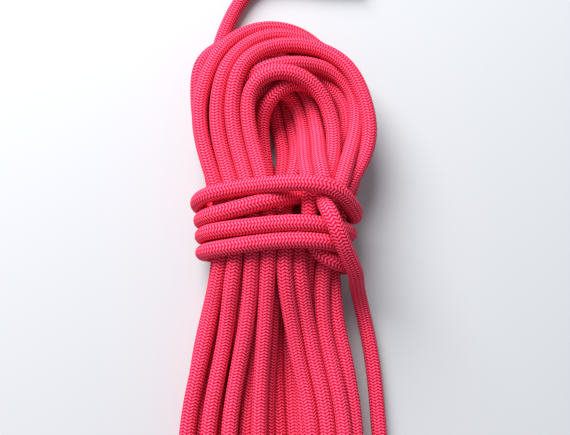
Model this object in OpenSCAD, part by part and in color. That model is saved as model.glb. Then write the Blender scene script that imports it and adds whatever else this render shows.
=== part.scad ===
// Dynamic climbing rope, put away as a wrapped hank.
// The hank lies along Y on the floor with its eye towards +Y, and binding turns hold its waist.
// From its upper end the rope passes under the crown of the eye to the binding, and from there
// through the turns of the hank, in four layers, to the tail, which crosses over the binding.

/* [Rope] */
// Diameter of the rope
rope_d = 9.8; // [9.2:0.1:10.5]
// Wall of the braided sheath
sheath_wall = 1.15; // [0.9:0.05:1.2]
// Diameter of one twisted core strand
core_strand_d = 1.75; // [1.4:0.05:1.75]

/* [Hank] */
// Turns in each of the four layers
turns_per_layer = 3.5; // [2.5:0.5:4]
// Space between one turn and the next
turn_gap = 1; // [1:0.1:1.5]
// Half of the hollow of the eye, to the middle of the first turn
eye_half = 21; // [19:0.5:24]
// Half of the slit between the first turns at the throat, above the binding
throat_half = 6; // [5.5:0.5:9]
// Half of the slit between the first turns at the waist
waist_half = 3; // [3:0.5:5]
// Half of the slit between the first turns where the runs fan out
fan_half = 12; // [8:0.5:14]
// Half of the hollow of the lower bights, to the middle of the first turn
bight_half = 18; // [16:0.5:24]
// Distance from the waist to the middle of the eye
eye_reach = 74; // [74:1:90]
// Distance from the waist to where the runs have fanned out
fan_reach = 150; // [120:5:200]
// Distance from the waist to the middle of the lower bights
bight_reach = 375; // [260:5:400]

/* [Binding] */
// Turns of the binding round the waist
wrap_turns = 4; // [3:1:4]
// Advance of the binding along the hank in one turn
wrap_pitch = 10.8; // [10.8:0.1:11.4]
// Space between the binding and the bundle that it holds
wrap_gap = 0.8; // [0.8:0.1:2]
// Radius of the binding's corners
wrap_corner = 12; // [11:1:15]

/* [Ends] */
// Length of the straight end section, without its fused tip
end_length = 48; // [42:1:60]
// Length of the end sleeve
sleeve_length = 36; // [25:1:38]
// Wall of the end sleeve
sleeve_wall = 0.6; // [0.4:0.1:1]
// Length of the fused tip
tip_length = 3; // [2:0.5:5]

/* [Hidden] */
ENDS = ["upper", "tail"];
CORE_STRANDS = 12;
$fn = 48;

rope_color = "crimson";
core_color = "ivory";
sleeve_color = "dimgray";

// The wound forms are cut flat where they lie on the floor, a tenth of the rope deep.
flat_share = 10;
flat_depth = rope_d / flat_share;
floor_z = rope_d / 2 - flat_depth;
// Sideways and upward steps from one turn to the next.
turn_step = rope_d + turn_gap;
layer_step = rope_d + turn_gap;

// The binding stands off so that its corners clear the bundle's corner strands.
bundle_gap = (rope_d + wrap_gap) / sqrt(2) + (1 - 1 / sqrt(2)) * wrap_corner;
wrap_left = -(throat_half + floor(turns_per_layer) * turn_step + bundle_gap);
wrap_right = throat_half + (floor(turns_per_layer - 0.5) + 0.5) * turn_step + bundle_gap;
wrap_low = floor_z;
wrap_high = floor_z + 3 * layer_step + 2 * bundle_gap;
// Middle of the binding along the hank, and where it starts.
wrap_mid_y = 4;
wrap_start_y = wrap_mid_y + wrap_turns * wrap_pitch / 2;

// The waist lies on the binding, and the crown of the eye on the upper strand.
lift = bundle_gap;
crossing = [-40, 112];
crossing_flat = 28;
crossing_reach = 110;
lift_from_y = [-150, -45];
lift_to_y = [55, 140];

// Rings of one turn: six each on the left run, the eye, the right run and the lower bight.
RINGS = 24;
WAIST_RING = 3;
FIRST_RING = 17;
LAST_RING = WAIST_RING + 4 * turns_per_layer * RINGS + 9;
waist_end = 24;
fan_start = 60;
throat_mid = (waist_end + eye_reach) / 2;
run_y = [-bight_reach, -fan_reach, -fan_start, -waist_end, waist_end, throat_mid, eye_reach];
fan_start_half = waist_half + (fan_half - waist_half) * (fan_start - waist_end) / (fan_reach - waist_end);
throat_mid_half = (throat_half + eye_half) / 2;
run_half = [bight_half, fan_half, fan_start_half, waist_half, throat_half, throat_mid_half, eye_half];

// Where the straight end sections lie: the face that the free stretch meets, and the way out.
sleeve_clearance = 0.05;
sleeve_od = rope_d + 2 * (sleeve_clearance + sleeve_wall);
end_z = sleeve_od / 2;
upper_end_at = [12, 176, end_z];
upper_end_turn = 0;
tail_end_at = [68, -195, end_z];
tail_end_turn = -90;

// Free stretches, from the end section to the wound form.
upper_points = [
    [2, 176, end_z], [-9, 174, 5.3], [-19, 167, 5], [-27, 154, 4.9], [-33, 140, 4.9], [-38, 126, 4.9],
    [-41, 112, 4.9], [-41, 98, 4.9], [-38, 84, 4.9], [-34, 70, 4.9], [-29, 57, 4.9], [-23, 44, 4.9],
    [-16, 33, 4.7]
];
tail_points = [
    [11, 56, 49], [9, 47, 53], [8, 39, 59], [9, 31, 67], [13, 20, 71], [19, 8, 71], [26, -4, 71],
    [33, -15, 71], [41, -26, 68], [49, -35, 60], [55, -42, 46], [57, -49, 31], [58, -57, 17],
    [60, -68, 7.5], [62, -82, 4.9], [64, -100, 4.9], [66, -122, 4.9], [67, -145, 4.9], [68, -168, 5.2],
    [68, -185, end_z]
];
crossing_points = [[14, -22, 4.1], [18, -33, 4.9], [16, -50, 4.9], [12, -72, 4.9], [13, -105, 4.9]];

// The hank's frame has the waist at the origin, and the part's frame has its box centred.
middle = [7, -125.7, 0];

function unit(v) = v / norm(v);

// Smooth step from 0 to 1 as x goes from a to b.
function ease(x, a, b) = let (u = max(0, min(1, (x - a) / (b - a)))) u * u * (3 - 2 * u);

// How far a strand over the plan point p is lifted off the floor.
function lift_at(p) =
    let (
        waist = ease(p.y, lift_from_y[0], lift_from_y[1]) * (1 - ease(p.y, lift_to_y[0], lift_to_y[1])),
        crown = 1 - ease(norm([p.x, p.y] - crossing), crossing_flat, crossing_reach)
    )
    lift * (1 - (1 - waist) * (1 - crown));

// Spiral of the turns: steps outwards from the first turn, after t turns.
function spiral(t) =
    let (n = turns_per_layer)
    t <= n ? t : t <= 2 * n ? 2 * n - t : t <= 3 * n ? t - 2 * n : 4 * n - t;

// Layer that a strand lies in after t turns: each climb takes the half turn round a reversal.
function layer(t) = [for (n = [1:3]) max(0, min(1, 2 * (t - n * turns_per_layer) + 0.5))] * [1, 1, 1];

// Plan of one turn's ring i, a distance out from the first turn: up the left run, round the eye,
// down the right run and round the lower bight.
function turn_plan(i, out) =
    i <= 6 ? [-(run_half[i] + out), run_y[i]]
    : i < 12 ? [0, eye_reach] + (eye_half + out) * [cos(180 - 30 * (i - 6)), sin(180 - 30 * (i - 6))]
    : i <= 18 ? [run_half[18 - i] + out, run_y[18 - i]]
    : [0, -bight_reach] + (bight_half + out) * [cos(-30 * (i - 18)), sin(-30 * (i - 18))];

function hank_ring(j) =
    let (
        t = (j - WAIST_RING) / RINGS,
        p = turn_plan(j % RINGS, spiral(t) * turn_step)
    )
    [p.x, p.y, floor_z + layer(t) * layer_step + lift_at(p)];

// The ends run straight for one rope diameter past the first and last rings, along their runs.
function beyond(j, next) = hank_ring(j) + rope_d * unit(next - hank_ring(j));
hank_points = concat(
    [beyond(FIRST_RING, 2 * hank_ring(FIRST_RING) - hank_ring(FIRST_RING + 1))],
    [for (j = [FIRST_RING:LAST_RING]) hank_ring(j)],
    [beyond(LAST_RING, hank_ring(LAST_RING + 1))]
);

// Section of the binding: along the floor to the right, up, back over the top and down.
function wrap_arc(x, z, from) =
    [for (a = [0:22.5:90]) [x + wrap_corner * cos(from + a), z + wrap_corner * sin(from + a)]];
wrap_section = concat(
    [[0, wrap_low]],
    wrap_arc(wrap_right - wrap_corner, wrap_low + wrap_corner, -90),
    wrap_arc(wrap_right - wrap_corner, wrap_high - wrap_corner, 0),
    [[0, wrap_high]],
    wrap_arc(wrap_left + wrap_corner, wrap_high - wrap_corner, 90),
    wrap_arc(wrap_left + wrap_corner, wrap_low + wrap_corner, 180),
    [for (u = [2 / 3, 1 / 3]) [u * (wrap_left + wrap_corner), wrap_low]]
);

function wrap_ring(j) =
    let (p = wrap_section[j % RINGS])
    [p.x, wrap_start_y - wrap_pitch * j / RINGS, p[1]];

wrap_points = [for (j = [0:wrap_turns * RINGS]) wrap_ring(j)];
wrap_start = wrap_points[0];
wrap_end = wrap_points[len(wrap_points) - 1];
wrap_start_way = unit(wrap_points[1] - wrap_start);
wrap_end_way = unit(wrap_end - wrap_points[len(wrap_points) - 2]);

// Catmull-Rom curve through the points, with one ring halfway between two.
function smooth(p) = [
    for (i = [0:len(p) - 1]) each i == len(p) - 1 ? [p[i]] : [p[i], (i == 0 || i == len(p) - 2)
        ? (p[i] + p[i + 1]) / 2
        : (9 * (p[i] + p[i + 1]) - p[i - 1] - p[i + 2]) / 16]
];

hank_start = hank_points[0];
hank_end = hank_points[len(hank_points) - 1];
hank_start_way = unit(hank_points[1] - hank_start);
hank_end_way = unit(hank_end - hank_points[len(hank_points) - 2]);

upper_route = concat([upper_end_at], upper_points, [wrap_start - rope_d * wrap_start_way, wrap_start]);
crossing_route = concat(
    [wrap_end, wrap_end + rope_d * wrap_end_way], crossing_points,
    [hank_start - rope_d * hank_start_way, hank_start]
);
tail_route = concat([hank_end, hank_end + rope_d * hank_end_way / 2], tail_points, [tail_end_at]);

// A tube swept along the points. reference is never along the tube, and lies in each ring's plane as
// nearly as it can.
module tube(points, sides, reference, phase = 0) {
    n = len(points);
    rings = [
        for (i = [0:n - 1]) let (
            way = unit(points[min(i + 1, n - 1)] - points[max(i - 1, 0)]),
            side = unit(cross(way, reference)),
            up = cross(side, way)
        )
        for (k = [0:sides - 1]) let (
            a = phase + 360 * k / sides,
            v = points[i] + rope_d / 2 * (cos(a) * side + sin(a) * up)
        )
        [v.x, v.y, max(v.z, 0)]
    ];
    walls = [
        for (i = [0:n - 2]) for (k = [0:sides - 1]) let (
            a = i * sides + k,
            b = i * sides + (k + 1) % sides
        )
        each [[a, b, b + sides], [a, b + sides, a + sides]]
    ];
    last = (n - 1) * sides;
    start_cap = [for (k = [1:sides - 2]) [0, k + 1, k]];
    end_cap = [for (k = [1:sides - 2]) [last, last + k, last + k + 1]];
    polyhedron(rings, concat(walls, start_cap, end_cap), convexity = 20);
}

// Least gap between stretches of a wound tube that lie more than half a turn apart along it.
function to_segment(p, a, b) =
    let (u = max(0, min(1, (p - a) * (b - a) / ((b - a) * (b - a))))) norm(p - a - u * (b - a));
function least_gap(p, apart) = min([
    for (i = [0:len(p) - 1]) for (k = [i + apart:1:len(p) - 2]) to_segment(p[i], p[k], p[k + 1])
]) - rope_d;

module hank_loops() {
    echo(hank_loops_least_gap = least_gap(hank_points, RINGS / 2));
    color(rope_color) tube(hank_points, 6, [0, 0, 1]);
}

module binding_wraps() {
    echo(binding_wraps_least_gap = least_gap(wrap_points, RINGS / 2));
    color(rope_color) tube(wrap_points, 6, [0, 1, 0], 30);
}

module crossing_strand() {
    color(rope_color) tube(smooth(crossing_route), 8, [0, 0, 1], 22.5);
}

module upper_strand() {
    color(rope_color) tube(smooth(upper_route), 8, [0, 0, 1], 22.5);
}

module tail_strand() {
    color(rope_color) tube(smooth(tail_route), 8, [0, 0, 1], 22.5);
}

// The end sections are drawn along +X from the face that the free stretch meets.
module at_end(which) {
    translate(which == "upper" ? upper_end_at : tail_end_at)
        rotate([0, 0, which == "upper" ? upper_end_turn : tail_end_turn])
            rotate([0, 90, 0])
                children();
}

// A round tube. Its bore is cut a little longer than it, so that both faces open cleanly.
module open_tube(length, outside, inside) {
    cut_beyond = 1;
    difference() {
        cylinder(h = length, d = outside);
        translate([0, 0, -cut_beyond]) cylinder(h = length + 2 * cut_beyond, d = inside);
    }
}

module sheath_end() {
    color(rope_color) open_tube(end_length, rope_d, rope_d - 2 * sheath_wall);
}

module end_sleeve() {
    bore = rope_d + 2 * sleeve_clearance;
    color(sleeve_color)
        translate([0, 0, end_length + tip_length / 2 - sleeve_length])
            open_tube(sleeve_length, sleeve_od, bore);
}

module fused_tip() {
    round_edge = 1;
    r = rope_d / 2;
    color(rope_color) translate([0, 0, end_length]) rotate_extrude() {
        square([r - round_edge, tip_length]);
        square([r, tip_length - round_edge]);
        translate([r - round_edge, tip_length - round_edge]) intersection() {
            circle(r = round_edge);
            square(round_edge);
        }
    }
}

// Strands 1 to 3 lie in the middle, and 4 to 12 round them, against the sheath.
module core_strand(i) {
    strand_gap = 0.06;
    inner = i <= 3;
    reach = inner
        ? (core_strand_d + strand_gap) / sqrt(3)
        : rope_d / 2 - sheath_wall - core_strand_d / 2 - strand_gap;
    angle = inner ? 20 + 120 * i : 40 * i;
    color(core_color)
        rotate([0, 0, angle]) translate([reach, 0, 0]) cylinder(h = end_length, d = core_strand_d);
}

translate(-middle) {
    hank_loops();
    binding_wraps();
    crossing_strand();
    upper_strand();
    tail_strand();
    for (e = ENDS) {
        at_end(e) sheath_end();
        at_end(e) end_sleeve();
        at_end(e) fused_tip();
        for (i = [1:CORE_STRANDS])
            at_end(e) core_strand(i);
    }
}
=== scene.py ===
# %% [markdown]
# # A dynamic climbing rope, put away as a wrapped hank
#
# A kernmantle rope is a braided sheath over twisted core strands. This lesson lays one rope, from
# end to end, in the turns of a hank: an eye of bights at the top, a binding of the same rope
# round the waist, and long runs that fan out below it. The rope's thickness is then what shapes
# the hank: the turns are pushed apart until they only touch, and their weight beds them down.

# %% Load the measured frame
import math
import bmesh
import bpy
import numpy as np
from mathutils import Matrix, Vector


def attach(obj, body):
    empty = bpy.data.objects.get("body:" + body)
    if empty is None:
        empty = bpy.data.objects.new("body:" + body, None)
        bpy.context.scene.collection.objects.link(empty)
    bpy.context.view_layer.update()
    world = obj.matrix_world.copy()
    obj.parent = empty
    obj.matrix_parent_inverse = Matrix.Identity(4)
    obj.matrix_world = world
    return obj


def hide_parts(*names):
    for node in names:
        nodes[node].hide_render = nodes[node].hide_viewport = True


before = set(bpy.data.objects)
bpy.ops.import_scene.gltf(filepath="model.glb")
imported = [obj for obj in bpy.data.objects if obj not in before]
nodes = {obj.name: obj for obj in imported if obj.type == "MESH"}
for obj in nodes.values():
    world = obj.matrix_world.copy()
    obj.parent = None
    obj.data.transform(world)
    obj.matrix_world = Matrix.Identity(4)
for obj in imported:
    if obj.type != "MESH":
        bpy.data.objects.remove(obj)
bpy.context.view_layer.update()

print("nodes in the frame:", len(nodes))

# %% [markdown]
# ## The rope's facts
#
# Lengths in the layout are millimetres in the hank's own frame, with the waist at the origin and
# the eye towards +Y. `placed` moves them into the part's frame, in metres. A strand on the floor has
# its middle at REST_Z, and an end, in its thicker sleeve, has it at END_Z.

# %% Sizes
MM = 0.001
MIDDLE = np.array([7, -125.7, 0])
ROPE_D = 9.8
REST_Z = ROPE_D / 2
SLEEVE_OD = 11.1
END_Z = SLEEVE_OD / 2
END_LENGTH = 48
TIP_LENGTH = 3
SLEEVE_LENGTH = 36
SHEATH_WALL = 1.15
CORE_STRAND_D = 1.75
INNER_STRANDS, OUTER_STRANDS = 3, 9
UPPER_END = np.array([12, 176, END_Z])
TAIL_END = np.array([68, -195, END_Z])


def placed(points):
    """The points in the part's frame, in metres."""
    return (np.asarray(points, float) - MIDDLE) * MM


def added(name, data):
    """A new object in the scene, with its data."""
    made = bpy.data.objects.new(name, data)
    bpy.context.scene.collection.objects.link(made)
    return made


print("rope, mm across:", ROPE_D, " core strands:", INNER_STRANDS + OUTER_STRANDS)

# %% [markdown]
# ## The camera
#
# It looks down on the hank from 40 cm, tilted a little towards the hank's eye. `seen` gives the
# place at a chosen height that shows at a point of the picture, so a strand can be given by where it shows.

# %% Camera
PICTURE = (570, 435)
FOCAL = 600
SENSOR = 36
LENS = np.array([-24.3, -63.5, 400])
FORWARD = np.array([0.07468, 0.1670, -0.98242])
UP = np.array([0.0, 0.98517, 0.17156])
FORWARD /= np.linalg.norm(FORWARD)
RIGHT = np.cross(FORWARD, UP)
RIGHT /= np.linalg.norm(RIGHT)
UP = np.cross(RIGHT, FORWARD)


def seen(x, y, z):
    """The place at height z that shows at x to the right and y down in the picture."""
    across, down = x - PICTURE[0] / 2, y - PICTURE[1] / 2
    ray = FORWARD * FOCAL + RIGHT * across - UP * down
    return tuple(LENS + ray * (z - LENS[2]) / ray[2])


camera_data = bpy.data.cameras.new("camera")
camera_data.sensor_width = SENSOR
camera_data.lens = FOCAL / PICTURE[0] * SENSOR
camera_data.clip_start = 0.01
camera = added("camera", camera_data)
turn = Matrix((RIGHT, UP, -FORWARD)).transposed().to_4x4()
camera.matrix_world = Matrix.Translation(Vector(placed(LENS))) @ turn
bpy.context.scene.camera = camera
print("camera at", [round(v, 3) for v in placed(LENS)])

# %% [markdown]
# ## The route
#
# Each turn has a left leg, a crown round the eye, a right leg and a lower bight. A leg is given by
# its x and z at the throat, under the binding, just below it, and where the runs have fanned out.
# From there on it runs to its bight, `share` of the way across at each station.

# %% Legs of the turns: (x, z) at the throat, the waist, below the binding and in the fan
LEFT = {
    1: [(-12.5, 32), (-3, 33), (-4, 26), (-10.5, 13.5)],
    2: [(-29, 14), (-21, 15), (-22, 9), (-38, 5)],
    3: [(-38, 14), (-30, 15), (-32, 9), (-50, 5)],
    4: [(-43, 23), (-34, 24), (-36, 18), (-54, 10)],
    5: [(-33, 23), (-25, 24), (-26, 18), (-39, 13)],
    6: [(-10, 22), (-6, 24), (-7, 18), (-26, 6)],
    7: [(-18, 43), (-7, 42), (-7.5, 36), (-14, 20)],
    8: [(-22, 30), (-12, 33), (-13, 27), (-22, 15)],
    9: [(-31, 29), (-22, 33), (-23, 27), (-32, 14)],
    10: [(-41, 32), (-31, 33), (-34, 27), (-46, 15)],
    11: [(-48, 40), (-35, 42), (-38, 35), (-55.5, 18)],
    12: [(-37.5, 41), (-26, 42), (-27, 37), (-43, 24)],
    13: [(-27, 41), (-16, 42), (-17, 37), (-31, 23)],
}
RIGHT_LEG = {
    2: [(22, 11), (11, 15), (11, 9), (24, 5)],
    3: [(11, 13), (4.5, 15), (3, 9), (10, 5)],
    4: [(13, 9), (6, 24), (6, 18), (20, 13)],
    5: [(31, 13), (20, 15), (20, 9), (33, 5)],
    6: [(35, 27), (15, 24), (-2, 17), (-1, 5)],
    7: [(35, 42), (20, 42), (12.8, 33), (30, 21)],
    8: [(44, 22), (5, 35), (3, 35), (20, 21)],
    9: [(51, 39), (26, 42), (21.5, 33), (38.5, 20)],
    10: [(41, 12), (27, 15), (28, 9), (42, 5)],
    11: [(53, 14), (24, 24), (26, 18), (39, 12)],
    12: [(57, 26), (30, 24), (22, 25), (29, 13)],
    13: [(57, 38), (32, 40), (28.5, 31), (43.5, 17)],
}
UPPER_STATIONS = (46, 24, 0, -20, -40, -84, -128)
LOWER_STATIONS = ((-160, 0.04), (-195, 0.2), (-235, 0.5), (-275, 0.8), (-315, 0.96), (-345, 1), (-372, 1))
LOWER_LIFT = 5


def leg(places, far_x, far_z):
    """A leg's points, from the throat down to its bight at far_x and far_z."""
    (x0, z0), (x1, z1), (x2, z2), (x3, z3) = places
    across = (x0, (x0 + x1) / 2, x1, (x1 + x2) / 2, x2, (x2 + x3) / 2, x3)
    up = (z0, z1, z1, z1, z2, (z2 + z3) / 2, z3)
    points = list(zip(across, UPPER_STATIONS, up))
    for y, share in LOWER_STATIONS:
        lift = LOWER_LIFT * math.sin(math.pi * share)
        points.append(((1 - share) * x3 + share * far_x, y, (1 - share) * z3 + share * far_z + lift))
    return points


print("left legs:", len(LEFT), " right legs:", len(RIGHT_LEG))

# %% Crowns of the turns, from the left leg to the right one
ARCH_Y = 68


def arch(left, right, top, heights):
    """A crown of points every 30 degrees, from left to right over its top. Heights are its left
    side's, its top's and its right side's."""
    top_x, top_y = top
    points = []
    for angle in range(180, -1, -30):
        c, s = math.cos(math.radians(angle)), math.sin(math.radians(angle))
        x = top_x + c * ((top_x - left) if c < 0 else (right - top_x))
        z = np.interp(180 - angle, [0, 90, 180], heights)
        points.append((x, ARCH_Y + (top_y - ARCH_Y) * s, z))
    return points


CROWN = {
    1: [seen(254, 134, 33), seen(252, 118, 34), seen(252, 104, 34), seen(257, 92, 31), seen(266, 85, 27),
        seen(277, 83, 24), seen(287, 88, 21), seen(294, 98, 19), seen(299, 112, 19), seen(302.5, 130, 22)],
    2: [(-32, 66, 9), (-34, 82, 8), (-27, 97, 9), (-14, 105, 12), (0, 106, 15), (13, 99, 15), (21, 85, 12),
        (23, 68, 10)],
    3: [seen(214, 128, 8), seen(215, 110, 6), seen(220, 95, 5), (-33, 101, 5), seen(242, 78, 5),
        seen(256, 82, 6), seen(267, 93, 7), seen(272, 106, 9), seen(277.5, 126, 11)],
    4: [(-47, 66, 18), (-48, 84, 14), (-42, 103, 10), (-28, 116, 6), (-12, 117, 5), (-1, 108, 5),
        seen(282, 106, 5), seen(289, 126, 5)],
    5: [seen(218.5, 118, 23), seen(219, 104, 24), seen(221.5, 90, 24), seen(227, 76, 23),
        seen(235, 63, 21), seen(247, 54, 17), seen(264, 54, 13), (4, 106, 10), (19, 101, 10),
        (30, 87, 10), (34, 68, 10)],
    6: [seen(260.5, 128, 28), seen(260.5, 117, 28), seen(264.5, 105, 29), seen(271, 92, 32),
        seen(280, 84, 34), seen(291, 79.5, 34.5), seen(300, 80.5, 34), seen(309, 86, 32),
        seen(318.5, 99, 30), seen(326, 118, 29), seen(330, 135, 28)],
    7: [seen(247, 118, 42), seen(245.5, 104, 42), seen(248.5, 90, 42), seen(256, 79, 41), seen(268, 72.5, 41),
        seen(285, 72.2, 40), seen(300, 76.5, 40), seen(310, 82, 40), seen(319, 91, 40), seen(325.5, 99, 40),
        seen(330, 108.5, 40), seen(333, 121, 40)],
    8: arch(-24, 47, (10, 101), (28, 20, 26)),
    9: arch(-34, 52, (17, 104), (28, 23, 35)),
    10: [seen(198, 115, 29), seen(199, 103, 28), seen(201, 90, 27), seen(203.5, 78, 26), seen(206.5, 67, 26),
         seen(212, 57, 25), seen(219.5, 50, 24), seen(231, 45.5, 23), seen(245, 42, 22), (0, 125, 20),
         (22, 118, 16), (38, 98, 12), (44, 72, 8)],
    11: [seen(196, 110, 38), seen(198, 100, 38), seen(203.5, 77, 37), seen(212, 57, 36), seen(224.5, 43, 34),
         seen(240, 32.5, 33), seen(263, 25, 33), seen(288, 29, 32), seen(303, 37.5, 29), seen(318, 52, 24),
         seen(332, 67, 18), seen(343, 88, 12), seen(350, 112, 9)],
    12: [seen(214.5, 110, 38), seen(217, 100, 38), seen(220, 82, 38), seen(228.5, 64, 38), seen(236, 52, 38),
         seen(244, 44, 38), seen(262, 33.2, 38), seen(290, 33, 37), seen(307, 39.5, 34), seen(323, 48, 31),
         seen(338, 60, 28), seen(353, 80, 27), seen(362, 105, 28)],
    13: [seen(231.5, 115, 38), seen(234, 100, 38), seen(235, 81, 38), seen(239, 68, 38), seen(250, 54.5, 38),
         seen(263, 46, 38), seen(290, 42.7, 39), seen(318, 46, 40), seen(329, 52, 39), seen(340, 58.5, 38),
         seen(353, 73, 37), seen(359, 84, 36), seen(363.5, 98, 36), seen(366, 115, 37)],
}
print("crowns:", len(CROWN))

# %% Lower bights: (radius, height), nested in four layers
BIGHT_X, BIGHT_Y = -6, -375
BIGHT_ANGLES = np.linspace(22.5, 157.5, 7)
BIGHT = {
    2: (27, 5), 3: (47, 5), 4: (37, 5),
    5: (42, 14), 6: (32, 14), 7: (22, 14),
    8: (20, 22), 9: (30, 22), 10: (40, 22), 11: (50, 22),
    12: (45, 31), 13: (35, 31), 1: (25, 31),
}


def lower_bight(radius, height):
    """Points round the foot of a turn, from its right leg to its left leg."""
    points = []
    for angle in BIGHT_ANGLES:
        c, s = math.cos(math.radians(angle)), math.sin(math.radians(angle))
        points.append((BIGHT_X + radius * c, BIGHT_Y - radius * s, height))
    return points


print("lower bights:", len(BIGHT))

# %% [markdown]
# The last turn's right leg starts the binding. It comes out below the passes, turns round the right
# side to the underside, and wraps upward four times. The rope then comes up through the eye from
# behind, and its tail is tucked under the last pass.

# %% Binding
LOW_Z, SIDE_Z = 6.5, 15
START = [
    (18.5, 46, 31), seen(307.5, 172, 36), seen(311.5, 183, 41), seen(313, 194, 43), seen(311.5, 205, 43),
    seen(308.5, 216, 45), seen(308, 227, 46), seen(311, 236, 47), seen(318, 242.5, 47.5),
    seen(326.5, 248, 47.5), seen(333, 253, 46), seen(339, 257.5, 43), seen(344.5, 261.5, 37),
    seen(348, 264.5, 28), (41, -30, 18), (38, -31, 9),
]
PASSES = [
    [(-41.5, -21.8, 26), seen(212, 252.5, 42), seen(229, 249, 50), seen(258, 242, 53), seen(287, 237, 53),
     seen(317, 236, 53), seen(331, 241, 50), (34, -21, 41), (36.5, -22.5, 27)],
    [(-43, -10.6, 27), seen(212, 234.5, 44), seen(229, 231.6, 51), seen(258, 226, 54), seen(287, 220, 54),
     seen(317, 220, 54), seen(336.5, 228, 50), (36, -12, 41), (39, -13, 27)],
    [(-45, -1.5, 27), seen(210, 217, 44), seen(229, 212, 51), seen(258, 205, 53), seen(287, 198, 51.5),
     seen(298, 195, 46), (13, 13, 37), (21, 13, 33), (29, 13, 32), (34, 12, 29), (36, 9, 21)],
    [(-48.3, 9.5, 28), seen(210, 195, 46), seen(229, 189, 52), seen(250, 185.5, 53), seen(273, 183, 57),
     seen(297, 183.5, 64), seen(317, 186.5, 66), seen(335.5, 193.5, 61), seen(346.5, 203.5, 53),
     (41, -2.8, 41), (41.2, -3.8, 27)],
]


def underside(right_end, left_end):
    """The way back under the waist, from one pass's right end to the next one's left end."""
    (right, right_y, _), (left, left_y, _) = right_end, left_end
    return [
        (right - 3, right_y + 0.8, SIDE_Z), (right - 11, right_y + 1.3, LOW_Z),
        (right - 22, right_y + 1.5, REST_Z), (12, (left_y + right_y) / 2, REST_Z),
        (-6, left_y - 2, REST_Z), (left + 24, left_y - 2, REST_Z),
        (left + 12, left_y - 1.5, LOW_Z), (left + 3, left_y - 1, SIDE_Z),
    ]


binding = [(31, -33, REST_Z), (12, -32, REST_Z), (-6, -27, REST_Z), (-20, -24.5, REST_Z),
           (-31, -23, LOW_Z), (-39, -22, SIDE_Z)]
for count, points in enumerate(PASSES):
    if count:
        binding += underside(PASSES[count - 1][-1], points[0])
    binding += points
binding += [(41, -2, SIDE_Z), (34, 2, LOW_Z), (24, 8, REST_Z), (13, 16, REST_Z)]
THROUGH_EYE = [
    (3, 25, REST_Z), (-5, 36, REST_Z), (-11, 48, REST_Z), (-16, 61, 6), (-18, 74, 8), (-14, 86, 12),
    (-5, 94, 16), (6, 94, 17), (15, 87, 18), (21, 76, 20), (24, 64, 22),
]
print("passes:", len(PASSES), " points in the binding:", len(binding))

# %% Free stretches
UPPER = [
    (12, 176, END_Z), (2, 176, END_Z), (-9, 174, 5.3), (-18, 167, 5), (-26, 155, REST_Z), (-33, 140, REST_Z),
    (-38, 126, REST_Z), (-41, 112, REST_Z), (-41, 98, REST_Z), (-38, 84, REST_Z), (-34, 70, REST_Z),
    (-30, 57, REST_Z), (-26, 46, 7), (-20, 30, 12), (-14, 16, 15), (-11, 0, 15), (-10, -20, 15), (-9, -40, 9),
    (-12, -84, 6), (-15.5, -128, REST_Z), (-13, -160, REST_Z), (-4, -200, REST_Z), (7, -245, REST_Z),
    (17, -295, REST_Z), (21, -335, REST_Z), (21, -372, REST_Z),
]
TAIL = [
    seen(318, 150, 27), seen(318, 161, 33), seen(317.5, 172, 41), seen(317, 182, 49), seen(319, 192, 56),
    seen(325, 203, 61), seen(331, 214, 63), seen(335, 225, 63), seen(338.5, 235, 61), seen(343, 245, 56),
    seen(347.5, 255, 48), seen(349, 265, 41), seen(353.5, 277, 30), seen(358, 291, 19), seen(361.5, 305, 10),
    seen(364, 318, REST_Z), seen(369, 342, REST_Z), seen(373, 366, REST_Z), seen(376.5, 400, REST_Z),
    (65, -150, REST_Z), (67, -170, 5), (68, -185, END_Z), (68, -195, END_Z),
]
print("points in the upper stretch:", len(UPPER), " in the tail:", len(TAIL))

# %% [markdown]
# Put end to end, the stretches are one route, through turns 2 to 13 and then turn 1. HELD says how
# firmly each is held in plan while the rope settles: the free stretches, the crowns and the start of
# the binding are held the most.

# %% One route, from the upper end to the tail
ORDER = list(range(2, 14)) + [1]
LOW_CROWNS = range(2, 6)
FIRST_TOP_LEGS = 8
HELD = {
    "upper": 0.06, "bight": 0.02, "low leg": 0.015, "top leg": 0.03, "low crown": 0.03, "crown": 0.05,
    "start": 0.07, "binding": 0.03, "through": 0.03, "tail": 0.06,
}
stretches = [("upper", UPPER)]
for t, after in zip(ORDER, ORDER[1:] + [None]):
    leg_kind = "top leg" if t >= FIRST_TOP_LEGS else "low leg"
    radius, height = BIGHT[t]
    stretches.append(("bight", lower_bight(radius, height)))
    stretches.append((leg_kind, leg(LEFT[t], BIGHT_X - radius, height)[::-1]))
    stretches.append(("low crown" if t in LOW_CROWNS else "crown", CROWN[t]))
    if after:
        radius, height = BIGHT[after]
        stretches.append((leg_kind, leg(RIGHT_LEG[t], BIGHT_X + radius, height)))
stretches += [("start", START), ("binding", binding), ("through", THROUGH_EYE), ("tail", TAIL)]

chosen = np.array([p for _, points in stretches for p in points], float)
held = np.array([HELD[k] for k, points in stretches for _ in points])
kind = np.array([k for k, points in stretches for _ in points])


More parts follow.
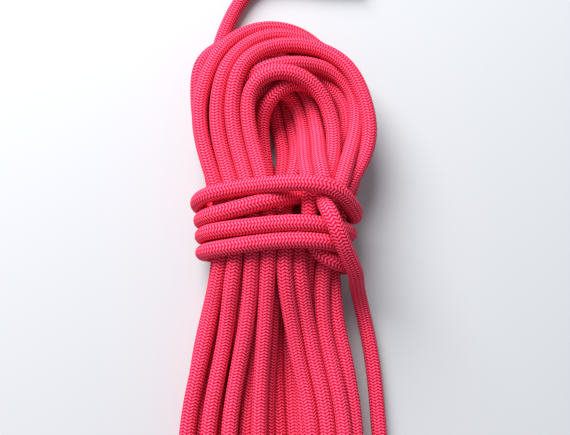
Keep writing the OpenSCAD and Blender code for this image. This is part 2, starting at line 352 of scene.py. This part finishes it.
def catmull_rom(points, per):
    """The smooth curve through the points, with per points on each stretch between two."""
    p = np.vstack([2 * points[0] - points[1], points, 2 * points[-1] - points[-2]])
    gap = np.maximum(np.linalg.norm(np.diff(p, axis=0), axis=1), 1e-6) ** 0.5
    t = np.r_[0, np.cumsum(gap)]
    curve = []
    for i in range(len(points) - 1):
        t0, t1, t2, t3 = t[i:i + 4]
        p0, p1, p2, p3 = p[i:i + 4]
        u = np.linspace(t1, t2, per, endpoint=False)[:, None]
        a1 = ((t1 - u) * p0 + (u - t0) * p1) / (t1 - t0)
        a2 = ((t2 - u) * p1 + (u - t1) * p2) / (t2 - t1)
        a3 = ((t3 - u) * p2 + (u - t2) * p3) / (t3 - t2)
        b1 = ((t2 - u) * a1 + (u - t0) * a2) / (t2 - t0)
        b2 = ((t3 - u) * a2 + (u - t1) * a3) / (t3 - t1)
        curve.append(((t2 - u) * b1 + (u - t1) * b2) / (t2 - t1))
    return np.vstack(curve + [points[-1:]])


def spaced(curve, step):
    """Points evenly spaced along the curve, and where each lies on it."""
    along = np.r_[0, np.cumsum(np.linalg.norm(np.diff(curve, axis=0), axis=1))]
    at = np.linspace(0, along[-1], int(round(along[-1] / step)) + 1)
    points = np.column_stack([np.interp(at, along, curve[:, axis]) for axis in range(3)])
    return points, np.searchsorted(along, at)


PER = 12
STEP = 7.5
smooth_route = catmull_rom(chosen, PER)
route, where = spaced(smooth_route, STEP)
owner = np.minimum(where // PER, len(chosen) - 1)
route_held, route_kind = held[owner], kind[owner]
print("points along the rope:", len(route), " length, m:", round(STEP * len(route) / 1000, 2))

# %% [markdown]
# ## Settling the rope
#
# The rope is a chain of short links. In each round it sinks a little, is pulled gently towards its
# chosen place in plan, resists bending, keeps its links' length, and is pushed off every strand
# that it would lie in, and off the floor. The binding also draws itself tight. The chosen place
# slides along the camera's line of sight as a strand sinks, so the strand stays where it shows.
# Only the tail is also held in height, and the rope's first and last points stay put.
#
# A share below is how much of a correction is made at a time. Strands near each other are looked for
# every LOOK_EVERY rounds, out to LOOK_ROUND past touching. The last CALM_ROUNDS act more gently, and
# the rope comes to rest in them.

# %% How firmly each rule acts in a round
ROUNDS = 900
CALM_ROUNDS, CALM_SHARE, CALM_TIGHT = 120, 0.4, 0.5
LOOK_EVERY, LOOK_ROUND, LINKS_APART = 12, 5, 4
FIXED_POINTS = 6
SINK = 0.04
TAIL_HEIGHT_HELD = 0.02
TIGHT = 0.02
STIFFNESS = 0.08
MIN_BEND = 2 * ROPE_D
OPEN_SPANS, OPEN_SHARE, OPEN_MOST = (2, 3), 0.15, 1.5
PASSES_IN_ROUND = 2
LINK_SHARE = 0.4
PUSH_SHARE, PUSH_MOST = 0.21, 1
FINE_PER, FINE_STEP = 3, 4.2
print("rounds:", ROUNDS)


# %% The settling
def near_strands(points, reach, apart):
    """Pairs of a point and a link within reach of each other, more than so many links apart."""
    middles = 0.5 * (points[1:] + points[:-1])
    a, b = points.astype(np.float32), middles.astype(np.float32)
    squared = (a * a).sum(1)[:, None] + (b * b).sum(1)[None, :] - 2 * (a @ b.T)
    i, k = np.nonzero(squared < reach * reach)
    keep = np.abs(i - k - 0.5) > apart
    return i[keep], k[keep]


def summed(count, index, values):
    """The values added up for each point."""
    return np.column_stack([np.bincount(index, values[:, axis], count) for axis in range(3)])


def open_bends(points, link):
    """Pushes two points apart where the stretch between them bends tighter than the rope can."""
    for span in OPEN_SPANS:
        chord = 2 * MIN_BEND * math.sin(span * link / MIN_BEND)
        way = points[2 * span:] - points[:-2 * span]
        size = np.linalg.norm(way, axis=1)
        short = np.clip(chord - size, 0, OPEN_MOST)[:, None] / size[:, None]
        points[2 * span:] += OPEN_SHARE * short * way
        points[:-2 * span] -= OPEN_SHARE * short * way


def keep_links(points, link):
    """Moves the two ends of each link towards its length, every second link at a time."""
    for start in (0, 1):
        a = np.arange(start, len(points) - 1, 2)
        way = points[a + 1] - points[a]
        size = np.linalg.norm(way, axis=1)[:, None]
        move = LINK_SHARE * (size - link) / size * way
        points[a] += move
        points[a + 1] -= move


def push_apart(points, near_i, near_k):
    """Pushes each point and the link it would lie in off each other, and returns the depths."""
    count = len(points)
    a = points[near_k]
    way = points[near_k + 1] - a
    off = points[near_i] - a
    u = np.clip((off * way).sum(1) / (way * way).sum(1), 0, 1)[:, None]
    off -= u * way
    size = np.linalg.norm(off, axis=1)
    hit = size < ROPE_D
    i, k, u, off, size = near_i[hit], near_k[hit], u[hit], off[hit], size[hit]
    push = PUSH_SHARE * ((ROPE_D - size) / np.maximum(size, 1e-3))[:, None] * off
    push = np.clip(push, -PUSH_MOST, PUSH_MOST)
    points += summed(count, i, push) - summed(count, k, push * (1 - u))
    points -= summed(count, k + 1, push * u)
    return ROPE_D - size


def settle(points, sink, tighten):
    """The points after all the rounds."""
    points, aim = points.copy(), points.copy()
    link = np.linalg.norm(np.diff(points, axis=0), axis=1).mean()
    sight = (LENS - aim) / (LENS[2] - aim[:, 2])[:, None]
    height_held = np.where(route_kind == "tail", TAIL_HEIGHT_HELD, 0)
    pull = np.column_stack([route_held, route_held, height_held])
    for done in range(ROUNDS):
        if done == ROUNDS - CALM_ROUNDS:
            pull, sink, tighten = CALM_SHARE * pull, CALM_SHARE * sink, CALM_TIGHT * tighten
        if done % LOOK_EVERY == 0:
            near_i, near_k = near_strands(points, ROPE_D + LOOK_ROUND, LINKS_APART)
        first, last = points[:FIXED_POINTS].copy(), points[-FIXED_POINTS:].copy()
        points += pull * (aim + (points[:, 2] - aim[:, 2])[:, None] * sight - points)
        points[:, 2] -= sink
        bend = points[4:] - 4 * points[3:-1] + 6 * points[2:-2] - 4 * points[1:-3] + points[:-4]
        points[2:-2] -= STIFFNESS * bend
        points[1:-1] += tighten[1:-1, None] * (0.5 * (points[2:] + points[:-2]) - points[1:-1])
        open_bends(points, link)
        for _ in range(PASSES_IN_ROUND):
            keep_links(points, link)
            depth = push_apart(points, near_i, near_k)
            points[:, 2] = np.maximum(points[:, 2], REST_Z)
        points[:FIXED_POINTS], points[-FIXED_POINTS:] = first, last
    print("deepest contact, mm:", round(float(depth.max()), 2), " mean:", round(float(depth.mean()), 3))
    return points


settled = settle(route, SINK, np.where(route_kind == "binding", TIGHT, 0))
fine, _ = spaced(catmull_rom(settled, FINE_PER), FINE_STEP)

# %% [markdown]
# ## The tube
#
# A node tree sweeps a round profile along the route. It stores how far each ring is along the
# rope, and the direction round it, for the braid to follow.

# %% Node tree for the tube
def socket_id(tree, name):
    """The key of the tree's input with this name, as its modifier knows it."""
    return next(i.identifier for i in tree.interface.items_tree if i.name == name and i.in_out == "INPUT")


def tube_tree():
    """The tree that sweeps a circle of the given radius and number of sides along the seed's edges."""
    tree = bpy.data.node_groups.new("rope_tube", "GeometryNodeTree")
    sockets = {"Geometry": "Geometry", "Radius": "Float", "Sides": "Int", "Material": "Material"}
    for name, kind_of in sockets.items():
        tree.interface.new_socket(name, in_out="INPUT", socket_type="NodeSocket" + kind_of)
    tree.interface.new_socket("Geometry", in_out="OUTPUT", socket_type="NodeSocketGeometry")
    n, link = tree.nodes.new, tree.links.new
    group_in, group_out = n("NodeGroupInput"), n("NodeGroupOutput")
    to_curve = n("GeometryNodeMeshToCurve")
    link(group_in.outputs["Geometry"], to_curve.inputs["Mesh"])
    parameter = n("GeometryNodeSplineParameter")
    along = n("GeometryNodeStoreNamedAttribute")
    along.inputs["Name"].default_value = "along"
    link(to_curve.outputs["Curve"], along.inputs["Geometry"])
    link(parameter.outputs["Length"], along.inputs["Value"])
    circle = n("GeometryNodeCurvePrimitiveCircle")
    link(group_in.outputs["Sides"], circle.inputs["Resolution"])
    link(group_in.outputs["Radius"], circle.inputs["Radius"])
    position, unit = n("GeometryNodeInputPosition"), n("ShaderNodeVectorMath")
    unit.operation = "NORMALIZE"
    link(position.outputs["Position"], unit.inputs[0])
    around = n("GeometryNodeStoreNamedAttribute")
    around.data_type = "FLOAT_VECTOR"
    around.inputs["Name"].default_value = "around"
    link(circle.outputs["Curve"], around.inputs["Geometry"])
    link(unit.outputs["Vector"], around.inputs["Value"])
    sweep = n("GeometryNodeCurveToMesh")
    sweep.inputs["Fill Caps"].default_value = True
    link(along.outputs["Geometry"], sweep.inputs["Curve"])
    link(around.outputs["Geometry"], sweep.inputs["Profile Curve"])
    smooth, realize = n("GeometryNodeSetShadeSmooth"), n("GeometryNodeRealizeInstances")
    paint = n("GeometryNodeSetMaterial")
    link(sweep.outputs["Mesh"], smooth.inputs["Geometry"])
    link(smooth.outputs["Geometry"], realize.inputs["Geometry"])
    link(realize.outputs["Geometry"], paint.inputs["Geometry"])
    link(group_in.outputs["Material"], paint.inputs["Material"])
    link(paint.outputs["Geometry"], group_out.inputs["Geometry"])
    return tree


def converted(name, seed_mesh, tree, values):
    """Runs the tree on the seed mesh, and returns a plain mesh object."""
    seed = added(name + "_seed", seed_mesh)
    modifier = seed.modifiers.new("form", "NODES")
    modifier.node_group = tree
    for key, value in values.items():
        modifier[socket_id(tree, key)] = value
    bpy.context.view_layer.update()
    evaluated = seed.evaluated_get(bpy.context.evaluated_depsgraph_get())
    mesh = bpy.data.meshes.new_from_object(evaluated)
    mesh.name = name
    bpy.data.objects.remove(seed)
    return added(name, mesh)


# %% [markdown]
# ## Materials
#
# Seen from outside, the sheath's braid is lengthwise rows of slanting stitches. The slant turns
# over from row to row, so that the stitches run on round the rope as zigzags.

# %% Helpers for shader trees
class Shader:
    """A material, and short ways to add nodes to its tree."""

    def __init__(self, name):
        self.material = bpy.data.materials.new(name)
        self.material.use_nodes = True
        self.tree = self.material.node_tree
        self.bsdf = self.tree.nodes["Principled BSDF"]

    def node(self, kind, **settings):
        made = self.tree.nodes.new(kind)
        for key, value in settings.items():
            setattr(made, key, value)
        return made

    def put(self, value, socket):
        if isinstance(value, bpy.types.NodeSocket):
            self.tree.links.new(value, socket)
        else:
            socket.default_value = value

    def math(self, operation, *values):
        made = self.node("ShaderNodeMath", operation=operation)
        for value, socket in zip(values, made.inputs):
            self.put(value, socket)
        return made.outputs[0]

    def mix(self, share, low, high):
        """Two colours mixed. Inputs 6 and 7 and output 2 are the node's colour sockets."""
        made = self.node("ShaderNodeMix", data_type="RGBA")
        self.put(share, made.inputs[0])
        self.put(low, made.inputs[6])
        self.put(high, made.inputs[7])
        return made.outputs[2]

    def noise(self, scale, detail):
        made = self.node("ShaderNodeTexNoise")
        made.inputs["Scale"].default_value = scale
        made.inputs["Detail"].default_value = detail
        self.put(self.node("ShaderNodeTexCoord").outputs["Object"], made.inputs["Vector"])
        return made.outputs["Fac"]

    def ramp(self, value, low, high, to_low=0.0, to_high=1.0):
        made = self.node("ShaderNodeMapRange")
        for key, number in zip(("Value", "From Min", "From Max", "To Min", "To Max"),
                               (value, low, high, to_low, to_high)):
            self.put(number, made.inputs[key])
        return made.outputs[0]

    def bump(self, height, strength, distance):
        made = self.node("ShaderNodeBump")
        made.inputs["Strength"].default_value = strength
        made.inputs["Distance"].default_value = distance
        self.put(height, made.inputs["Height"])
        self.put(made.outputs["Normal"], self.bsdf.inputs["Normal"])

    def set(self, **values):
        for key, value in values.items():
            self.put(value, self.bsdf.inputs[key.replace("_", " ")])


# %% Braided sheath
RIBS = 12
STITCH = 0.0019
SLANT = 0.75
RIB_EDGE = 0.5
RIB_NUMBER_STEP = 7.3
FUZZ = 0.25
GROOVE_RANGE, CREST_RANGE = (0.08, 0.52), (0.55, 1.0)
# The groove colour is painted shade: the dips between stitches darkened as if in shadow.
GROOVE_SHADE = (0.27, 0.0, 0.006, 1)
DEEP_RED = (0.68, 0.003, 0.034, 1)
RED = (0.83, 0.008, 0.054, 1)
# The crest colour is a painted highlight: the pink glint of light on the stitch tops.
PAINTED_CREST_HIGHLIGHT = (0.94, 0.135, 0.25, 1)


def braid_stitches(s):
    """Height of the stitches, near 0 in the grooves and 1 on the crests, and a number for each one.
    STITCH is a stitch's length in metres, and it leans by SLANT of that from one rib to the next."""
    along = s.node("ShaderNodeAttribute", attribute_name="along").outputs["Fac"]
    around = s.node("ShaderNodeAttribute", attribute_name="around").outputs["Vector"]
    xyz = s.node("ShaderNodeSeparateXYZ")
    s.put(around, xyz.inputs[0])
    angle = s.math("ARCTAN2", xyz.outputs["Y"], xyz.outputs["X"])
    rib = s.math("MULTIPLY", s.math("ADD", s.math("DIVIDE", angle, 2 * math.pi), 0.5), RIBS)
    number = s.math("FLOOR", rib)
    aside = s.math("MULTIPLY", s.math("ABSOLUTE", s.math("SUBTRACT", s.math("FRACT", rib), 0.5)), 2.0)
    pair = s.math("FRACT", s.math("DIVIDE", rib, 2.0))
    zigzag = s.math("ABSOLUTE", s.math("SUBTRACT", s.math("MULTIPLY", pair, 2.0), 1.0))
    step = s.math("ADD", s.math("DIVIDE", along, STITCH), s.math("MULTIPLY", zigzag, SLANT))
    ridge = s.math("SINE", s.math("MULTIPLY", s.math("FRACT", step), math.pi))
    bulge = s.math("POWER", s.math("SUBTRACT", 1.0, s.math("MULTIPLY", aside, aside)), 0.5)
    round_rib = s.math("ADD", RIB_EDGE, s.math("MULTIPLY", bulge, 1 - RIB_EDGE))
    height = s.math("MULTIPLY", ridge, round_rib)
    return height, s.math("ADD", s.math("FLOOR", step), s.math("MULTIPLY", number, RIB_NUMBER_STEP))


def sheath_material():
    """Red braid, with painted shade between the stitches and a painted pink highlight on their crests."""
    s = Shader("braided_sheath")
    height, stitch = braid_stitches(s)
    fuzz, soft = s.noise(scale=2600, detail=2), s.noise(scale=26, detail=3)
    white = s.node("ShaderNodeTexWhiteNoise", noise_dimensions="1D")
    s.put(stitch, white.inputs["W"])
    vary = s.math("ADD", s.math("MULTIPLY", white.outputs["Value"], 0.3), s.math("MULTIPLY", soft, 0.5))
    # Stitch height roughened by fuzz. It places the painted shade, the painted highlight and the bump.
    fuzzy_height = s.math("ADD", height, s.math("MULTIPLY", s.math("SUBTRACT", fuzz, 0.5), FUZZ))
    body = s.mix(s.ramp(vary, 0.15, 0.6), DEEP_RED, RED)
    # Painted shade in the grooves between the stitches.
    low = s.mix(s.ramp(fuzzy_height, *GROOVE_RANGE), GROOVE_SHADE, body)
    # Painted pink highlight on the stitch crests.
    colour = s.mix(s.ramp(fuzzy_height, *CREST_RANGE), low, PAINTED_CREST_HIGHLIGHT)
    s.set(Base_Color=colour, Roughness=s.ramp(fuzz, 0.3, 0.7, 0.50, 0.66), Specular_IOR_Level=0.02)
    s.bump(fuzzy_height, strength=0.55, distance=0.0004)
    return s.material


SHEATH = sheath_material()
print("sheath nodes:", len(SHEATH.node_tree.nodes))

# %% Sweep the rope
ROPE_SIDES = 18
rope_points = [tuple(p) for p in placed(fine)]
seed_mesh = bpy.data.meshes.new("rope_route")
seed_mesh.from_pydata(rope_points, [(i, i + 1) for i in range(len(rope_points) - 1)], [])
rope = converted("rope", seed_mesh, tube_tree(),
                 {"Radius": ROPE_D / 2 * MM, "Sides": ROPE_SIDES, "Material": SHEATH})
print("rope faces:", len(rope.data.polygons), [a.name for a in rope.data.attributes])
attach(rope, "root")
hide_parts("hank_loops", "binding_wraps", "crossing_strand", "upper_strand", "tail_strand")

# %% [markdown]
# ## The two ends
#
# At each end the sheath is a hollow tube with twelve core strands in it, three in the middle and
# nine round them. Each strand is three plies twisted together. A shrunk sleeve grips the sheath,
# and shows its braid faintly, and the tip is melted sheath and core in one rounded lump. The upper
# end points to +X, and the tail's end to -Y.

# %% Forms along an end
SLEEVE_FROM = END_LENGTH + TIP_LENGTH / 2 - SLEEVE_LENGTH
SLEEVE_CLEARANCE = 0.05
STRAND_GAP = 0.06
TWIST_PITCH = 9
SHEATH_SIDES, SLEEVE_SIDES, TIP_SIDES, YARN_SIDES = 48, 96, 64, 24
SHEATH_RINGS, SLEEVE_RINGS, YARN_RINGS = 25, 67, 65
SHARP_ANGLE = 50
AT_END = {"upper": UPPER_END, "tail": TAIL_END}


def around_ring(sides):
    """The angle of each side of a ring."""
    return np.arange(sides) / sides * 2 * math.pi


def end_rings(which, along, radius, sides, middle=(0, 0)):
    """Rings round the end's axis. Radius has one number, or one for each side of each ring."""
    angle = around_ring(sides)
    r = np.broadcast_to(radius, (len(along), sides))
    u = np.broadcast_to(np.asarray(along, float)[:, None], r.shape)
    v, w = middle[0] + r * np.cos(angle), middle[1] + r * np.sin(angle)
    x, y = (u, v) if which == "upper" else (v, -u)
    return placed(AT_END[which] + np.stack([x, y, w], axis=2))


def ring_mesh(name, rings, material, node, hollow=False):
    """A closed form from rings. A hollow one goes out along its outside and back along its inside."""
    count, sides = rings.shape[:2]
    faces = []
    for i in range(count if hollow else count - 1):
        for k in range(sides):
            a, b = i * sides, (i + 1) % count * sides
            faces.append((a + k, a + (k + 1) % sides, b + (k + 1) % sides, b + k))
    if not hollow:
        faces += [tuple(range(sides))[::-1], tuple(range((count - 1) * sides, count * sides))]
    mesh = bpy.data.meshes.new(name)
    mesh.from_pydata([tuple(p) for p in rings.reshape(-1, 3)], [], faces)
    shape = bmesh.new()
    shape.from_mesh(mesh)
    bmesh.ops.recalc_face_normals(shape, faces=shape.faces)
    shape.to_mesh(mesh)
    shape.free()
    mesh.shade_smooth()
    mesh.set_sharp_from_angle(angle=math.radians(SHARP_ANGLE))
    mesh.materials.append(material)
    piece = added(name, mesh)
    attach(piece, "root")
    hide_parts(node)
    return piece


def end_sheath(which):
    """The hollow sheath, with the two attributes that its braid follows."""
    along = np.linspace(0, END_LENGTH, SHEATH_RINGS)
    outer = end_rings(which, along, ROPE_D / 2, SHEATH_SIDES)
    inner = end_rings(which, along[::-1], ROPE_D / 2 - SHEATH_WALL, SHEATH_SIDES)
    piece = ring_mesh(which + "_sheath_tube", np.vstack([outer, inner]), SHEATH,
                      which + "_sheath_end", hollow=True)
    angle = np.tile(around_ring(SHEATH_SIDES), 2 * len(along))
    way = np.column_stack([np.cos(angle), np.sin(angle), np.zeros(len(angle))])
    piece.data.attributes.new("along", "FLOAT", "POINT").data.foreach_set(
        "value", np.repeat(np.r_[along, along[::-1]] * MM, SHEATH_SIDES))
    piece.data.attributes.new("around", "FLOAT_VECTOR", "POINT").data.foreach_set("vector", way.ravel())
    return piece


LIP_STEPS = np.array([0, 0.12, 0.35, 0.8])
AFTER_LIP = 1.5
LIP_THIN, LIP_FADE = 0.16, 1.2
LIP_ROUND, LIP_ROUND_REACH = 0.22, 0.35
BRAID_SHOWN, BRAID_PITCH, BRAID_FADE = 0.035, 8, 3
SLACK, SLACK_PITCH = 0.05, 9
SLEEVE_ROOM = 0.08


def end_sleeve(which):
    """The sleeve follows the ribs and stitches under it, and thins towards its two lips."""
    along = np.concatenate([LIP_STEPS, np.linspace(AFTER_LIP, SLEEVE_LENGTH - AFTER_LIP, SLEEVE_RINGS),
                            SLEEVE_LENGTH - LIP_STEPS[::-1]])
    angle = around_ring(SLEEVE_SIDES)
    edge = np.minimum(along, SLEEVE_LENGTH - along)[:, None]
    thinned = LIP_THIN * np.exp(-edge / LIP_FADE)
    rounded = LIP_ROUND * np.clip(1 - edge / LIP_ROUND_REACH, 0, 1) ** 2
    slant, ribs = 2 * math.pi * along[:, None] / BRAID_PITCH, RIBS // 2 * angle
    braid = BRAID_SHOWN * (np.cos(ribs + slant) + np.cos(ribs - slant))
    slack = SLACK * np.cos(2 * angle + along[:, None] / SLACK_PITCH)
    shrunk = SLEEVE_OD / 2 - SLEEVE_ROOM - (thinned + rounded)
    outer = np.minimum(shrunk + braid * np.clip(edge / BRAID_FADE, 0, 1) + slack, SLEEVE_OD / 2)
    bore = ROPE_D / 2 + SLEEVE_CLEARANCE
    rings = [end_rings(which, SLEEVE_FROM + along, outer, SLEEVE_SIDES),
             end_rings(which, SLEEVE_FROM + along[::-6], bore, SLEEVE_SIDES)]
    return ring_mesh(which + "_shrunk_sleeve", np.vstack(rings), SLEEVE,
                     which + "_end_sleeve", hollow=True)


RIM = 1.0
DOME = 0.1
TIP_ROOM = 0.02
WIDE_PUCKER, NARROW_PUCKER = 0.1, 0.07


def end_tip(which):
    """Melted rope sets with a rounded rim, a low dome and shallow puckers."""
    radius, full = ROPE_D / 2, TIP_LENGTH
    angle = around_ring(TIP_SIDES)
    profile = [(radius - 0.15, 0), (radius, 0.2), (radius, 0.8), (radius, full - RIM)]
    profile += [(radius - RIM + RIM * math.cos(t), full - RIM + RIM * math.sin(t))
                for t in np.linspace(0.3, 1.3, 5)]
    profile += [(r, full - 0.04 - DOME * (1 - r / radius)) for r in np.linspace(radius - RIM, 0.2, 10)]
    r, u = np.array(profile).T[:, :, None]
    on_dome = np.where(u > full - RIM, 1, 0)
    wide = WIDE_PUCKER * np.cos(5 * angle + 1.3 * r)
    narrow = NARROW_PUCKER * np.cos(9 * angle - 2.1 * r + 1)
    deepest = WIDE_PUCKER + NARROW_PUCKER
    sunk = on_dome * np.clip((wide + narrow + deepest) * np.minimum(r, 1), 0, 1)
    rings = end_rings(which, END_LENGTH + u[:, 0], r - TIP_ROOM, TIP_SIDES)
    axis, inwards = (0, -1) if which == "upper" else (1, 1)
    rings[:, :, axis] += inwards * sunk * MM
    return ring_mesh(which + "_melted_tip", rings, TIP, which + "_fused_tip")


FIRST_TURNED = 20
PLY_DEPTH = 0.26


def core_strand(which, number):
    """One of the strands, of three twisted plies, in the middle or in the ring round it."""
    if number <= INNER_STRANDS:
        reach = (CORE_STRAND_D + STRAND_GAP) / math.sqrt(3)
        turned = math.radians(FIRST_TURNED + 360 / INNER_STRANDS * number)
    else:
        reach = ROPE_D / 2 - SHEATH_WALL - CORE_STRAND_D / 2 - STRAND_GAP
        turned = math.radians(360 / OUTER_STRANDS * number)
    middle = (reach * math.sin(turned), -reach * math.cos(turned))
    along = np.linspace(0, END_LENGTH, YARN_RINGS)
    twist = 2 * math.pi * along[:, None] / TWIST_PITCH + number
    ply = np.abs(np.cos(1.5 * (around_ring(YARN_SIDES) - twist)))
    radius = CORE_STRAND_D / 2 * (1 - PLY_DEPTH + PLY_DEPTH * ply ** 0.6)
    rings = end_rings(which, along, radius, YARN_SIDES, middle)
    return ring_mesh(f"{which}_core_yarn_{number}", rings, YARN,
                     f"{which}_core_strand_{number}")


# %% Materials of the ends
def sleeve_material():
    """Shrunk polymer tube: dark, faintly mottled, and rubbed paler where it was handled."""
    black, dark_grey = (0.012, 0.012, 0.014, 1), (0.030, 0.030, 0.034, 1)
    rubbed_grey = (0.075, 0.074, 0.078, 1)
    s = Shader("shrunk_tube")
    mottle, scuff = s.noise(scale=420, detail=4), s.noise(scale=900, detail=6)
    grain = s.noise(scale=5200, detail=2)
    dark = s.mix(s.ramp(mottle, 0.35, 0.65), black, dark_grey)
    s.set(Base_Color=s.mix(s.ramp(scuff, 0.56, 0.72), dark, rubbed_grey))
    s.set(Roughness=s.ramp(mottle, 0.3, 0.7, 0.34, 0.55), Specular_IOR_Level=0.5, Sheen_Weight=0.03)
    s.bump(s.math("ADD", s.math("MULTIPLY", grain, 0.4), scuff), strength=0.35, distance=0.0001)
    return s.material


def tip_material():
    """Melted nylon: dark glassy red, with paler and scorched streaks."""
    dark_red, clear_red = (0.20, 0.004, 0.012, 1), (0.42, 0.012, 0.030, 1)
    core_pale, scorched = (0.62, 0.34, 0.27, 1), (0.045, 0.012, 0.010, 1)
    s = Shader("melted_nylon")
    streak, lump = s.noise(scale=700, detail=5), s.noise(scale=1900, detail=3)
    red = s.mix(s.ramp(streak, 0.35, 0.65), dark_red, clear_red)
    streaked = s.mix(s.ramp(lump, 0.60, 0.72), red, core_pale)
    s.set(Base_Color=s.mix(s.ramp(streak, 0.66, 0.78), streaked, scorched))
    s.set(Roughness=s.ramp(lump, 0.3, 0.7, 0.16, 0.40), Specular_IOR_Level=0.5, Coat_Weight=0.25)
    s.bump(s.math("ADD", s.math("MULTIPLY", lump, 0.6), streak), strength=0.5, distance=0.0003)
    return s.material


def yarn_material():
    """Undyed nylon yarn: off-white, fine filaments, softly shiny."""
    between, cream, white = (0.52, 0.49, 0.41, 1), (0.72, 0.69, 0.60, 1), (0.86, 0.84, 0.77, 1)
    s = Shader("core_yarn")
    filament, tone = s.noise(scale=8200, detail=2), s.noise(scale=160, detail=3)
    body = s.mix(s.ramp(tone, 0.3, 0.7), cream, white)
    s.set(Base_Color=s.mix(s.ramp(filament, 0.30, 0.55), between, body))
    s.set(Roughness=s.ramp(filament, 0.3, 0.7, 0.42, 0.62), Sheen_Weight=0.2, Sheen_Roughness=0.4)
    s.bump(filament, strength=0.5, distance=0.00008)
    return s.material


SLEEVE, TIP, YARN = sleeve_material(), tip_material(), yarn_material()
print("materials:", [m.name for m in (SHEATH, SLEEVE, TIP, YARN)])

# %% Make the ends
on_rope = []
for which in AT_END:
    on_rope += [end_sheath(which), end_sleeve(which), end_tip(which)]
    yarns = [core_strand(which, number) for number in range(1, INNER_STRANDS + OUTER_STRANDS + 1)]
    print(which, "end:", [len(piece.data.polygons) for piece in on_rope[-3:]], "yarns:", len(yarns))

# %% [markdown]
# ## Floor and light
#
# A pale floor, a weak surround, and one wide lamp beyond the eye and to its left, which lights the
# crowns and leaves soft shadows between the strands.

# %% Floor and light
FLOOR_HALF = 3
FLOOR_COLOUR, SURROUND_COLOUR = (0.47, 0.48, 0.5, 1), (0.9, 0.94, 1.0, 1)
SURROUND_STRENGTH = 0.4
LAMP_PLACE, LAMP_TARGET = Vector((-0.75, 1.3, 1.2)), Vector((0, 0.1, 0))
LAMP_SIZE, LAMP_WATTS = 1.55, 84
floor_mesh = bpy.data.meshes.new("floor")
corners = [(-1, -1), (1, -1), (1, 1), (-1, 1)]
floor_mesh.from_pydata([(FLOOR_HALF * x, FLOOR_HALF * y, 0) for x, y in corners], [], [(0, 1, 2, 3)])
floor = added("floor", floor_mesh)
paint = Shader("pale_floor")
paint.set(Base_Color=FLOOR_COLOUR, Roughness=0.8)
floor_mesh.materials.append(paint.material)

light = bpy.data.lights.new("sky_light", "AREA")
light.shape = "DISK"
light.size = LAMP_SIZE
light.energy = LAMP_WATTS
lamp = added("sky_light", light)
lamp.location = LAMP_PLACE
lamp.rotation_euler = (LAMP_TARGET - LAMP_PLACE).to_track_quat("-Z", "Y").to_euler()
world = bpy.data.worlds.new("soft_surround")
world.use_nodes = True
surround = world.node_tree.nodes["Background"].inputs
surround["Color"].default_value = SURROUND_COLOUR
surround["Strength"].default_value = SURROUND_STRENGTH
bpy.context.scene.world = world
bpy.context.scene.view_settings.view_transform = "Standard"
print("floor, m across:", 2 * FLOOR_HALF, " lamp, W:", LAMP_WATTS)
